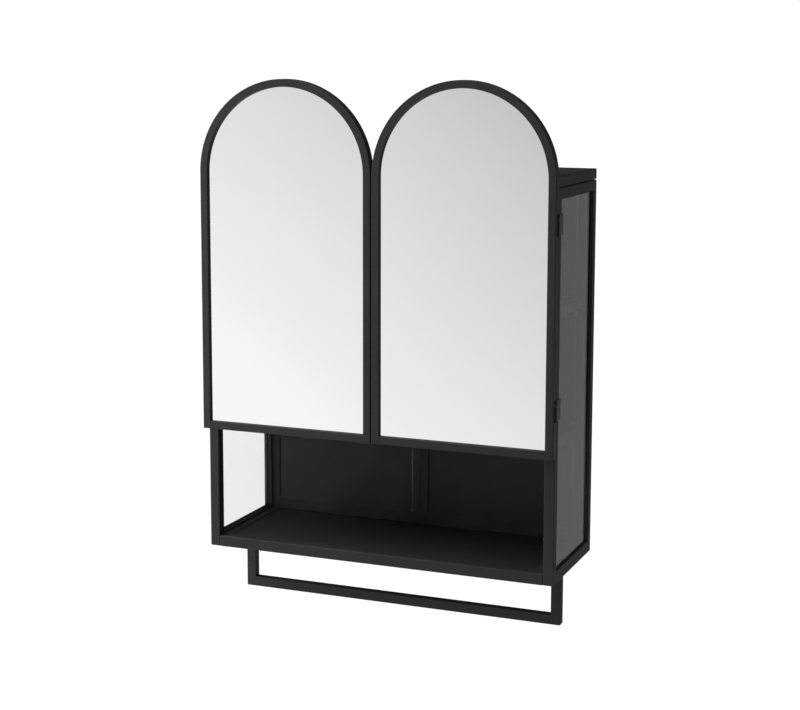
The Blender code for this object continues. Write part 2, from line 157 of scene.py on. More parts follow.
# 0 on flat faces, rising towards 1 where the surface turns within the radius
def edgeMask(tree, radius, gain):
    rounded = tree.nodes.new("ShaderNodeBevel")
    rounded.samples = 4
    rounded.inputs["Radius"].default_value = radius
    plain = tree.nodes.new("ShaderNodeNewGeometry")
    match = tree.nodes.new("ShaderNodeVectorMath")
    match.operation = "DOT_PRODUCT"
    tree.links.new(rounded.outputs["Normal"], match.inputs[0])
    tree.links.new(plain.outputs["Normal"], match.inputs[1])
    return spread(tree, match.outputs["Value"], 1.0, 1.0 - 1.0 / gain)


# finishes: a noise has a scale and a detail, a bump has a distance and a strength

blackCoat = {
    "tone": (0.0205, 0.0205, 0.0209),
    "paleTone": (0.0245, 0.0245, 0.0249),
    # the paler edge tone is partly rubbed wear and partly a painted highlight along the rounded edges
    "wearAndHighlightTone": (0.036, 0.036, 0.037),
    "roughness": (0.44, 0.52),
    "specular": 0.18,
    "wornRoughness": 0.30,
    "mottle": (16.0, 4.0),
    "rub": (90.0, 3.0),
    "rubSpan": (0.42, 0.62),
    "peel": (260.0, 1.0),
    "peelBump": (0.00008, 0.5),
    "grain": (900.0, 2.0),
    "grainBump": (0.000015, 0.6),
    "edgeRadius": 0.0010,
    "edgeGain": 3.0,
}


def powderCoat():
    look = blackCoat
    finish, tree, shader, where = newFinish("blackPowderCoat", look["tone"], look["roughness"][0])
    shader.inputs["Specular IOR Level"].default_value = look["specular"]
    mottle = noise(tree, where, *look["mottle"])
    peel = noise(tree, where, *look["peel"])
    grain = noise(tree, where, *look["grain"])
    tone = blendTones(tree, spread(tree, mottle, *middleSpan), look["tone"], look["paleTone"])
    rubbed = spread(tree, noise(tree, where, *look["rub"]), *look["rubSpan"])
    # paler, glossier rounded edges: partly rubbed wear, partly a painted highlight
    paleEdgeShare = calculate(tree, "MULTIPLY", edgeMask(tree, look["edgeRadius"], look["edgeGain"]), rubbed)
    shine = spread(tree, mottle, *wideSpan, *look["roughness"])
    feed(tree, shader.inputs["Base Color"], blendTones(tree, paleEdgeShare, tone, look["wearAndHighlightTone"]))
    feed(tree, shader.inputs["Roughness"], blendValues(tree, paleEdgeShare, shine, look["wornRoughness"]))
    orangePeel = bump(tree, peel, *look["peelBump"])
    feed(tree, shader.inputs["Normal"], bump(tree, grain, *look["grainBump"], orangePeel))
    return finish


oxideLook = {
    "tone": (0.006, 0.006, 0.0065), "rubbedTone": (0.03, 0.03, 0.031), "metallic": 0.35,
    "roughness": (0.26, 0.42), "plainRoughness": 0.34, "edgeRadius": 0.0006, "edgeGain": 2.5,
    "rub": (420.0, 3.0, (1.0, 1.0, 0.12)), "rubSpan": (0.4, 0.6), "rubShare": (0.2, 1.0),
    "pitting": (2200.0, 2.0), "pittingBump": (0.00003, 0.5),
}


def blackOxide():
    look = oxideLook
    finish, tree, shader, where = newFinish(
        "blackOxideSteel", look["tone"], look["plainRoughness"], look["metallic"])
    rub = noise(tree, where, *look["rub"])
    edges = edgeMask(tree, look["edgeRadius"], look["edgeGain"])
    paleEdgeShare = calculate(tree, "MULTIPLY", edges, spread(tree, rub, *look["rubSpan"], *look["rubShare"]))
    feed(tree, shader.inputs["Base Color"], blendTones(tree, paleEdgeShare, look["tone"], look["rubbedTone"]))
    feed(tree, shader.inputs["Roughness"], spread(tree, rub, *wideSpan, *look["roughness"]))
    pitting = noise(tree, where, *look["pitting"])
    feed(tree, shader.inputs["Normal"], bump(tree, pitting, *look["pittingBump"]))
    return finish


zincLook = {
    "tone": (0.46, 0.47, 0.49), "paleTone": (0.64, 0.65, 0.66),
    "roughness": (0.24, 0.42), "plainRoughness": 0.3, "spangleScale": 170.0,
    "drawn": (900.0, 3.0, (0.03, 1.0, 1.0)), "drawnShare": (0.4, 1.0), "drawnBump": (0.00002, 0.5),
}


def zincPlate():
    look = zincLook
    finish, tree, shader, where = newFinish("zincPlatedSteel", look["tone"], look["plainRoughness"], 1.0)
    spangle = tree.nodes.new("ShaderNodeTexVoronoi")
    spangle.inputs["Scale"].default_value = look["spangleScale"]
    tree.links.new(where, spangle.inputs["Vector"])
    grey = tree.nodes.new("ShaderNodeSeparateColor")
    tree.links.new(spangle.outputs["Color"], grey.inputs["Color"])
    drawn = noise(tree, where, *look["drawn"])
    bright = spread(tree, drawn, *wideSpan, *look["drawnShare"])
    share = calculate(tree, "MULTIPLY", grey.outputs["Red"], bright)
    feed(tree, shader.inputs["Base Color"], blendTones(tree, share, look["tone"], look["paleTone"]))
    feed(tree, shader.inputs["Roughness"], spread(tree, drawn, *wideSpan, *look["roughness"]))
    feed(tree, shader.inputs["Normal"], bump(tree, drawn, *look["drawnBump"]))
    return finish


# one recipe for the small moulded parts, told apart by their numbers
mouldedRecipe = {"cloud": (70.0, 3.0), "grainDetail": 2.0, "grainStrength": 0.7}
mouldedLooks = {
    "blackRubber": {
        "tone": (0.0230, 0.0230, 0.0234), "paleTone": (0.0310, 0.0308, 0.0305),
        "roughness": (0.62, 0.82), "grain": 2600.0, "depth": 0.00006,
    },
    "blackPlastic": {
        "tone": (0.011, 0.011, 0.012), "paleTone": (0.017, 0.017, 0.018),
        "roughness": (0.38, 0.52), "grain": 3400.0, "depth": 0.00004,
    },
    "greyNylon": {
        "tone": (0.040, 0.040, 0.042), "paleTone": (0.060, 0.060, 0.062),
        "roughness": (0.32, 0.46), "grain": 1200.0, "depth": 0.00002,
    },
}


def moulded(name):
    look = mouldedLooks[name]
    finish, tree, shader, where = newFinish(name, look["tone"], look["roughness"][0])
    cloud = noise(tree, where, *mouldedRecipe["cloud"])
    share = spread(tree, cloud, *middleSpan)
    feed(tree, shader.inputs["Base Color"], blendTones(tree, share, look["tone"], look["paleTone"]))
    feed(tree, shader.inputs["Roughness"], spread(tree, cloud, *wideSpan, *look["roughness"]))
    grain = noise(tree, where, look["grain"], mouldedRecipe["grainDetail"])
    feed(tree, shader.inputs["Normal"], bump(tree, grain, look["depth"], mouldedRecipe["grainStrength"]))
    return finish


boardLook = {
    "tone": (0.060, 0.040, 0.026), "chipTone": (0.150, 0.105, 0.070),
    "roughness": (0.70, 0.90), "plainRoughness": 0.8,
    "fibre": (600.0, 5.0, (1.0, 1.0, 0.35)), "fibreSpan": (0.4, 0.65), "fibreBump": (0.00015, 0.6),
    "speck": (2400.0, 2.0), "speckShare": (0.4, 1.0),
}


def fibreBoard():
    look = boardLook
    finish, tree, shader, where = newFinish("fibreBoard", look["tone"], look["plainRoughness"])
    fibre = noise(tree, where, *look["fibre"])
    speck = noise(tree, where, *look["speck"])
    fibres = spread(tree, fibre, *look["fibreSpan"])
    specks = spread(tree, speck, *wideSpan, *look["speckShare"])
    share = calculate(tree, "MULTIPLY", fibres, specks)
    feed(tree, shader.inputs["Base Color"], blendTones(tree, share, look["tone"], look["chipTone"]))
    feed(tree, shader.inputs["Roughness"], spread(tree, fibre, *wideSpan, *look["roughness"]))
    feed(tree, shader.inputs["Normal"], bump(tree, fibre, *look["fibreBump"]))
    return finish


paneLook = {
    "tone": (0.984, 0.987, 0.986), "paleTone": (0.994, 0.995, 0.994), "index": 1.5,
    "roughness": (0.0, 0.006), "streak": (95.0, 2.0, (1.0, 1.0, 0.012)), "streakSpan": (0.45, 0.75),
    "wave": (9.0, 1.0, (1.0, 1.0, 0.25)), "waveBump": (0.00001, 1.0),
}


def clearPane():
    look = paneLook
    finish, tree, shader, where = newFinish("clearPaneGlass", look["tone"], look["roughness"][0])
    shader.inputs["Transmission Weight"].default_value = 1.0
    shader.inputs["IOR"].default_value = look["index"]
    # faint upright streaks left by the last wipe
    streak = noise(tree, where, *look["streak"])
    share = spread(tree, streak, *middleSpan)
    feed(tree, shader.inputs["Base Color"], blendTones(tree, share, look["tone"], look["paleTone"]))
    feed(tree, shader.inputs["Roughness"], spread(tree, streak, *look["streakSpan"], *look["roughness"]))
    wave = noise(tree, where, *look["wave"])
    feed(tree, shader.inputs["Normal"], bump(tree, wave, *look["waveBump"]))
    return finish


silverLook = {
    "tone": (0.925, 0.93, 0.93), "paleTone": (0.945, 0.948, 0.945), "roughness": (0.0, 0.012),
    "cloud": (3.5, 2.0), "wipe": (60.0, 2.0, (0.3, 1.0, 1.0)), "wipeSpan": (0.45, 0.75),
}


def silveredPane():
    look = silverLook
    finish, tree, shader, where = newFinish("silveredMirror", look["tone"], look["roughness"][0], 1.0)
    cloud = noise(tree, where, *look["cloud"])
    share = spread(tree, cloud, *wideSpan)
    feed(tree, shader.inputs["Base Color"], blendTones(tree, share, look["tone"], look["paleTone"]))
    wipe = noise(tree, where, *look["wipe"])
    feed(tree, shader.inputs["Roughness"], spread(tree, wipe, *look["wipeSpan"], *look["roughness"]))
    return finish


finishes = {
    "black_steel": powderCoat(),
    "hinge_steel": blackOxide(),
    "plated_steel": zincPlate(),
    "rubber": moulded("blackRubber"),
    "plastic": moulded("blackPlastic"),
    "nylon": moulded("greyNylon"),
    "board": fibreBoard(),
    "clear_glass": clearPane(),
    "mirror": silveredPane(),
}
print("finishes made:", len(finishes))


# small tools for meshes

sideShare = 0.48  # a bend takes up no more of a side than this
leastBend = 0.0002  # least corner radius of a rounded rectangle and of a door's foot


# rounds the corners of a flat outline; radii is one number or a list with one for each corner
def roundCorners(corners, radii, steps=5, closed=True):
    points = []
    count = len(corners)
    if not isinstance(radii, (list, tuple)):
        radii = [radii] * count
    for index, (corner, radius) in enumerate(zip(corners, radii)):
        here = Vector(corner)
        isEnd = not closed and index in (0, count - 1)
        if isEnd or radius <= 0:
            points.append(tuple(here))
            continue
        back = Vector(corners[index - 1]) - here
        ahead = Vector(corners[(index + 1) % count]) - here
        half = back.angle(ahead) / 2
        reach = min(radius / math.tan(half), back.length * sideShare, ahead.length * sideShare)
        start = here + back.normalized() * reach
        end = here + ahead.normalized() * reach
        bend = reach * math.tan(half)
        centre = here + (back.normalized() + ahead.normalized()).normalized() * (bend / math.sin(half))
        first = math.atan2(*reversed(start - centre))
        turn = math.atan2(*reversed(end - centre)) - first
        turn = (turn + math.pi) % math.tau - math.pi
        for step in range(steps + 1):
            angle = first + turn * step / steps
            points.append((centre.x + bend * math.cos(angle), centre.y + bend * math.sin(angle)))
    return points


# skins a row of equal loops; a ring has no ends, otherwise both ends are capped
def skin(shape, loops, ring=False):
    rows = [[shape.verts.new(point) for point in loop] for loop in loops]
    count = len(rows[0])
    pairs = list(zip(rows, rows[1:]))
    if ring:
        pairs.append((rows[-1], rows[0]))
    for first, second in pairs:
        for index in range(count):
            after = (index + 1) % count
            shape.faces.new((first[index], first[after], second[after], second[index]))
    if not ring:
        shape.faces.new(rows[0])
        shape.faces.new(list(reversed(rows[-1])))


def skinned(loops, ring=False):
    shape = bmesh.new()
    skin(shape, loops, ring)
    return shape


def boxShape(low, high):
    shape = bmesh.new()
    addBox(shape, low, high)
    return shape


def addBox(shape, low, high):
    corners = [(low[0], low[1]), (high[0], low[1]), (high[0], high[1]), (low[0], high[1])]
    skin(shape, [[(x, y, z) for x, y in corners] for z in (low[2], high[2])])


# a profile of (radius, height) pairs turned about an upright axis, or one along X or Y
def turned(centre, profile, axis="Z", steps=40):
    loops = []
    for radius, height in profile:
        loop = []
        for step in range(steps):
            angle = math.tau * step / steps
            first, second = radius * math.cos(angle), radius * math.sin(angle)
            offset = [first, second]
            offset.insert("XYZ".index(axis), height)
            loop.append(tuple(start + along for start, along in zip(centre, offset)))
        loops.append(loop)
    return loops


def plainObject(name, shape):
    bmesh.ops.recalc_face_normals(shape, faces=shape.faces)
    mesh = bpy.data.meshes.new(name)
    shape.to_mesh(mesh)
    shape.free()
    item = bpy.data.objects.new(name, mesh)
    scene.collection.objects.link(item)
    return item


def applyModifiers(item):
    graph = bpy.context.evaluated_depsgraph_get()
    mesh = bpy.data.meshes.new_from_object(item.evaluated_get(graph))
    item.modifiers.clear()
    item.data = mesh


# joins or cuts the item with the given shapes, and leaves nothing else behind
def carve(item, tools, operation="DIFFERENCE"):
    cutters = [plainObject(item.name + "Tool", tool) for tool in tools]
    for cutter in cutters:
        modifier = item.modifiers.new("carve", "BOOLEAN")
        modifier.operation = operation
        modifier.solver = "EXACT"
        modifier.object = cutter
    applyModifiers(item)
    for cutter in cutters:
        bpy.data.objects.remove(cutter)


def soften(item, width, segments=3, angle=35):
    bevel = item.modifiers.new("softEdges", "BEVEL")
    bevel.width = width
    bevel.segments = segments
    bevel.limit_method = "ANGLE"
    bevel.angle_limit = math.radians(angle)


def shadeSmooth(item, angle=40):
    item.data.shade_smooth()
    item.data.set_sharp_from_angle(angle=math.radians(angle))
    even = item.modifiers.new("evenShading", "WEIGHTED_NORMAL")
    even.keep_sharp = True


# a finished piece that stands for a node of the frame
def place(item, node, slot, sharpAngle=40):
    item.data.materials.clear()
    item.data.materials.append(finishes[slot])
    shadeSmooth(item, sharpAngle)
    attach(item, nodes[node]["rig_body"])
    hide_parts(node)


def middle(node):
    low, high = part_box(node)
    return (low + high) / 2


# the two welded side frames

tubeLook = {"edge": 0.0010, "segments": 4, "tube": 0.0166, "sill": 0.0203}


def buildSideFrame(sideName):
    low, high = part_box("side_frame_" + sideName)
    inset = tubeLook["tube"]
    outer = [(low.y, low.z), (high.y, low.z), (high.y, high.z), (low.y, high.z)]
    inner = [
        (low.y + inset, low.z + tubeLook["sill"]), (high.y - inset, low.z + tubeLook["sill"]),
        (high.y - inset, high.z - inset), (low.y + inset, high.z - inset),
    ]
    rows = ((low.x, outer), (high.x, outer), (high.x, inner), (low.x, inner))
    shape = skinned([[(x, y, z) for y, z in outline] for x, outline in rows], ring=True)
    item = plainObject("sideFrame" + sideName.title(), shape)
    soften(item, tubeLook["edge"], tubeLook["segments"])
    place(item, "side_frame_" + sideName, "black_steel")


for sideName in sides:
    buildSideFrame(sideName)
print("side frames built")


# side panes in their rubber

gasketLook = {
    "lip": 0.0015, "edge": 0.0005, "slot": 0.0046, "slotEdge": 0.0003, "web": 0.0005, "steps": 3,
    "paneBevel": 0.0002, "facing": 0.99,
}


def buildGasket(sideName):
    node = "glass_gasket_" + sideName
    low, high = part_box(node)
    pane = middle("side_glass_" + sideName).x
    slot = gasketLook["slot"] / 2
    lip = gasketLook["lip"]
    web = gasketLook["web"]
    section = [
        (low.x, 0.0), (high.x, 0.0), (high.x, lip), (pane + slot, lip),
        (pane + slot, web), (pane - slot, web), (pane - slot, lip), (low.x, lip),
    ]
    edge, slotEdge = gasketLook["edge"], gasketLook["slotEdge"]
    section = roundCorners(section, [0, 0, edge, slotEdge, 0, 0, slotEdge, edge], gasketLook["steps"])
    loops = []
    for x, inset in section:
        loops.append([
            (x, low.y + inset, low.z + inset), (x, high.y - inset, low.z + inset),
            (x, high.y - inset, high.z - inset), (x, low.y + inset, high.z - inset),
        ])
    item = plainObject("paneSeal" + sideName.title(), skinned(loops, ring=True))
    place(item, node, "rubber", sharpAngle=50)


# clear faces, and edge faces, which the rubber grips, in the rubber's dark finish: painted shade that hides
# light lines along the edge
def buildPane(sideName):
    node = "side_glass_" + sideName
    low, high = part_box(node)
    bevel = gasketLook["paneBevel"]
    loops = []
    for x, inset in ((low.x, bevel), (low.x + bevel, 0.0), (high.x - bevel, 0.0), (high.x, bevel)):
        loops.append([
            (x, low.y + inset, low.z + inset), (x, high.y - inset, low.z + inset),
            (x, high.y - inset, high.z - inset), (x, low.y + inset, high.z - inset),
        ])
    item = plainObject("sidePane" + sideName.title(), skinned(loops))
    place(item, node, "clear_glass", sharpAngle=20)
    # the edge faces take the rubber finish: painted shade along the pane's edge
    item.data.materials.append(finishes["rubber"])
    for face in item.data.polygons:
        face.material_index = 0 if abs(face.normal.x) > gasketLook["facing"] else 1


for sideName in sides:
    buildGasket(sideName)
    buildPane(sideName)
print("side panes set")


# folded and pressed sheet: lid, tray, shelves and back

panLook = {
    "sheet": 0.001, "border": 0.0134, "slope": 0.0022, "depth": 0.0014,
    "fold": 0.0019, "fieldBend": 0.0016, "corner": 0.0012, "fieldCorner": 0.0045, "steps": 4,
    "rimBend": 0.0003, "fieldLead": 0.004,  # lead: how far the bends are followed into the flat field
}


def roundedRectangle(xLow, xHigh, yLow, yHigh, radius):
    corners = [(xLow, yLow), (xHigh, yLow), (xHigh, yHigh), (xLow, yHigh)]
    return roundCorners(corners, max(radius, leastBend), panLook["steps"])


# plan radius of a pan's corner at a distance in from its rim
def cornerAt(inset):
    look = panLook
    if inset < look["border"] - look["slope"]:
        return look["corner"] - inset
    return look["fieldCorner"] + look["border"] - inset


def buildPan(name, node):
    look = panLook
    low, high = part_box(node)
    top, bottom, sheet, lead = high.z, low.z, look["sheet"], look["fieldLead"]
    border, well = look["border"], look["border"] + look["slope"]
    corners = [
        (well + lead, top - look["depth"]), (well, top - look["depth"]), (border, top), (0.0, top),
        (0.0, bottom), (sheet, bottom), (sheet, top - sheet), (border, top - sheet),
        (well, top - sheet - look["depth"]), (well + lead, top - sheet - look["depth"]),
    ]
    bend, rim = look["fieldBend"], look["rimBend"]
    radii = [0, bend, bend, look["fold"], rim, rim, look["fold"] - sheet, bend, bend, 0]
    profile = roundCorners(corners, radii, look["steps"], closed=False)
    loops = []
    for inset, z in profile:
        sizes = (low.x + inset, high.x - inset, low.y + inset, high.y - inset)
        loops.append([(x, y, z) for x, y in roundedRectangle(*sizes, cornerAt(inset))])
    place(plainObject(name, skinned(loops)), node, "black_steel")


buildPan("nicheTray", "bottom_tray")
buildPan("nicheCeiling", "mid_panel")
buildPan("innerShelf", "inner_shelf")

# the groove is the dark line between the lid and the side frames
lidLook = {
    "fold": 0.0017, "innerFold": 0.001, "corner": 0.0016, "groove": 0.0013, "hemInset": 0.003,
    "hem": 0.0012, "hemBend": 0.0002, "lipBend": 0.0004, "grooveBend": 0.0003, "lead": 0.02,
}


def buildLid():
    look = lidLook
    low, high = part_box("top_cap")
    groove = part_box("side_frame_left")[1].z + look["groove"]
    hemInset, hem, underside = look["hemInset"], look["hemInset"] + look["hem"], high.z - panLook["sheet"]
    corners = [
        (look["lead"], high.z), (0.0, high.z), (0.0, groove), (hemInset, groove),
        (hemInset, low.z), (hem, low.z), (hem, underside), (look["lead"], underside),
    ]
    bends = [look[key] for key in ("fold", "lipBend", "grooveBend", "hemBend", "hemBend", "innerFold")]
    profile = roundCorners(corners, [0, *bends, 0], closed=False)
    loops = []
    for inset, z in profile:
        radius = look["corner"] - inset
        outline = roundedRectangle(low.x + inset, high.x - inset, low.y + inset, high.y - inset, radius)
        loops.append([(x, y, z) for x, y in outline])
    place(plainObject("foldedLid", skinned(loops)), "top_cap", "black_steel")


buildLid()

backLook = {"lowerBorder": 0.018, "bend": 0.0016, "rimBend": 0.0002}


def buildBackSheet(sideName):
    look = panLook
    node = "back_panel_" + sideName
    low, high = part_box(node)
    front, sheet, depth, lead = low.y, look["sheet"], look["depth"], look["fieldLead"]
    border, well = look["border"], look["border"] + look["slope"]
    corners = [
        (well + lead, front + depth), (well, front + depth), (border, front), (0.0, front),
        (0.0, front + sheet), (border, front + sheet), (well, front + sheet + depth),
        (well + lead, front + sheet + depth),
    ]
    bend, rim = backLook["bend"], backLook["rimBend"]
    profile = roundCorners(corners, [0, bend, bend, rim, rim, bend, bend, 0], look["steps"], closed=False)
    lift = backLook["lowerBorder"] - border  # the pressed field starts higher above the foot
    loops = []
    for inset, y in profile:
        base = low.z + inset + (lift if inset > border - look["slope"] else 0.0)
        outline = roundedRectangle(low.x + inset, high.x - inset, base, high.z - inset, cornerAt(inset))
        loops.append([(x, y, z) for x, z in outline])
    place(plainObject("backSheet" + sideName.title(), skinned(loops)), node, "black_steel")


for sideName in sides:
    buildBackSheet(sideName)
print("folded sheet built")


# bars: front rail, seam strip, hanging rail, towel rail

barEdges = {"frontRail": 0.0014, "seamStrip": 0.0003}


def buildBar(name, node):
    item = plainObject(name, boxShape(*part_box(node)))
    soften(item, barEdges[name])
    place(item, node, "black_steel")


buildBar("frontRail", "front_top_rail")
buildBar("seamStrip", "back_joint_strip")

keyholeLook = {
    "spread": 0.200, "entry": 0.006, "slot": 0.003, "drop": 0.006, "rise": 0.010, "edge": 0.0004,
    "segments": 2, "entrySteps": 32, "slotSteps": 12, "past": 0.001,
}


def buildHangingRail():
    look = keyholeLook
    low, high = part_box("hanging_rail")
    item = plainObject("hangingRail", boxShape(low, high))
    holes = []
    for side in sides.values():
        across = side * look["spread"]
        entry, slot, past = look["entry"], look["slot"], look["past"]
        entryLevel = (low.z + high.z) / 2 - look["drop"]
        slotLevel = (low.z + high.z) / 2 + look["rise"]
        mouth = math.pi / 2 - math.acos(slot / entry)  # half of the angle where the slot leaves the round
        outline = []
        for step in range(look["entrySteps"] + 1):
            angle = math.pi / 2 + mouth + (math.tau - 2 * mouth) * step / look["entrySteps"]
            outline.append((across + entry * math.cos(angle), entryLevel + entry * math.sin(angle)))
        for step in range(look["slotSteps"] + 1):
            angle = math.pi * step / look["slotSteps"]
            outline.append((across + slot * math.cos(angle), slotLevel + slot * math.sin(angle)))
        holes.append(skinned([[(x, y, z) for x, z in outline] for y in (low.y - past, high.y + past)]))
    carve(item, holes)
    soften(item, look["edge"], look["segments"])
    place(item, "hanging_rail", "plated_steel")


buildHangingRail()

towelRailLook = {
    "legWidth": 0.0166, "barHeight": 0.0165, "bend": 0.0020, "innerBend": 0.0008, "edge": 0.0015,
    "segments": 4, "tenonInset": 0.0013,
}


def buildTowelRail():
    look = towelRailLook
    low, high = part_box("towel_rail")
    trayLow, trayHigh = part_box("bottom_tray")
    tenon, shoulder = trayHigh.x - look["tenonInset"], trayLow.z - gap
    inner = high.x - look["legWidth"]
    barTop = low.z + look["barHeight"]
    half = [
        (inner, barTop), (inner, high.z), (tenon, high.z), (tenon, shoulder),
        (high.x, shoulder), (high.x, low.z),
    ]
    radii = [look["innerBend"], 0, 0, 0, 0, look["bend"]]
    outline = roundCorners(half + [(-x, z) for x, z in reversed(half)], radii + radii[::-1])
    item = plainObject("towelRail", skinned([[(x, y, z) for x, z in outline] for y in (low.y, high.y)]))
    soften(item, look["edge"], look["segments"])
    place(item, "towel_rail", "black_steel")


buildTowelRail()
print("bars built")


# doors

doorLook = {
    "face": 0.0125, "rebate": 0.004, "edge": 0.0010, "innerEdge": 0.0006, "foot": 0.0008,
    "rearBend": 0.0004, "lipBend": 0.0003, "bendSteps": 4, "arcSteps": 96, "footSteps": 3,
    "coverEdge": 0.0003, "coverSteps": 3, "coverLead": 0.01, "coverFoot": 0.001,
}


# outline of a door at a distance in from its rim: straight sides and foot under a half round
def archOutline(box, inset, foot):
    low, high = box
    radius = (high.x - low.x) / 2
    centre = (low.x + high.x) / 2
    spring = high.z - radius
    reach = radius - inset
    corner = max(foot - inset, leastBend)
    arcSteps, footSteps = doorLook["arcSteps"], doorLook["footSteps"]
    points = []
    for across, turn in ((centre - reach + corner, math.pi), (centre + reach - corner, 1.5 * math.pi)):
        for step in range(footSteps + 1):
            angle = turn + math.pi / 2 * step / footSteps
            z = low.z + inset + corner + corner * math.sin(angle)
            points.append((across + corner * math.cos(angle), z))
    for step in range(arcSteps + 1):
        angle = math.pi * step / arcSteps
        points.append((centre + reach * math.cos(angle), spring + reach * math.sin(angle)))
    return points


hingeSpace = {"reach": 0.0038, "deep": 0.0075, "leafFront": 0.0012, "past": 0.002, "ends": 0.0006}


def buildDoorFrame(sideName):
    look = doorLook
    node = "door_frame_" + sideName
    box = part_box(node)
    low, high = box
    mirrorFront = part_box("mirror_" + sideName)[0].y - gap
    rebate = look["face"] - look["rebate"]
    section = [
        (0.0, low.y), (0.0, high.y), (rebate, high.y), (rebate, mirrorFront),
        (look["face"], mirrorFront), (look["face"], low.y),
    ]
    radii = [look["edge"], look["edge"], look["rearBend"], 0, look["lipBend"], look["innerEdge"]]
    section = roundCorners(section, radii, look["bendSteps"])
    loops = [[(x, y, z) for x, z in archOutline(box, inset, look["foot"])] for inset, y in section]
    item = plainObject("doorFrame" + sideName.title(), skinned(loops, ring=True))
    notches = []
    for level in levels:
        notches += hingeNotch(sideName, level, high.y)
    carve(item, notches)
    place(item, node, "black_steel")


# room in the door's rear outer edge for the knuckles and for the door leaf
def hingeNotch(sideName, level, back):
    look = hingeSpace
    side = sides[sideName]
    pin = middle("hinge_pin_" + level + "_" + sideName)
    low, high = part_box("hinge_body_leaf_" + level + "_" + sideName)
    bottom, top = low.z - look["ends"], high.z + look["ends"]
    shapes = []
    for inner, outer, front in (
        (pin.x - side * look["reach"], pin.x + side * look["past"], pin.y - look["reach"]),
        (pin.x - side * look["deep"], pin.x, pin.y + look["leafFront"]),
    ):
        across = sorted((inner, outer))
        shapes.append(boxShape((across[0], front, bottom), (across[1], back + look["past"], top)))
    return shapes


def buildDoorCover(sideName):
    node = "door_cover_" + sideName
    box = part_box(node)
    low, high = box
    look = doorLook
    section = [(look["coverLead"], low.y), (0.0, low.y), (0.0, high.y), (look["coverLead"], high.y)]
    section = roundCorners(section, look["coverEdge"], look["coverSteps"], closed=False)
    loops = [[(x, y, z) for x, z in archOutline(box, inset, look["coverFoot"])] for inset, y in section]
    place(plainObject("doorCover" + sideName.title(), skinned(loops)), node, "black_steel")


# a node of the frame that stays as it is and only gets its finish
def dress(node, slot):
    nodes[node].data.materials.clear()
    nodes[node].data.materials.append(finishes[slot])


for sideName in sides:
    buildDoorFrame(sideName)
    buildDoorCover(sideName)
    dress("mirror_" + sideName, "mirror")
    dress("mirror_backing_" + sideName, "board")
print("doors built")


# hinges

# distances of the plates are taken from the pin; those of the door's leaf run inwards
hingeLook = {
    "radius": 0.003, "bore": 0.0015, "leaf": 0.0015, "edge": 0.00025, "clear": 0.0012,
    "doorPlate": (-0.0072, -0.0036), "arm": (-0.0072, -0.001), "armFront": 0.0015, "armBack": 0.0028,
    "washerEdge": 0.0002, "washerSteps": 2, "domeRise": 0.0004, "domeAngles": (0.25, 0.7, 1.2, math.pi / 2),
    "steps": 48, "boreSteps": 32, "past": 0.002,
}


def knuckle(centre, low, high):
    radius, soft = hingeLook["radius"], hingeLook["edge"]
    profile = [(radius - soft, low), (radius, low + soft), (radius, high - soft), (radius - soft, high)]
    return skinned(turned((centre.x, centre.y, 0.0), profile, steps=hingeLook["steps"]))


def buildLeaf(name, node, centre, low, high, plates, side):
    look = hingeLook
    item = plainObject(name, knuckle(centre, low, high))
    joined = []
    for near, far in plates:
        across = sorted((centre.x + side * near[0], centre.x + side * far[0]))
        joined.append(boxShape((across[0], near[1], near[2]), (across[1], far[1], far[2])))
    carve(item, joined, "UNION")
    bore = [(look["bore"], low - look["past"]), (look["bore"], high + look["past"])]
    carve(item, [skinned(turned((centre.x, centre.y, 0.0), bore, steps=look["boreSteps"]))])
    place(item, node, "hinge_steel", sharpAngle=30)


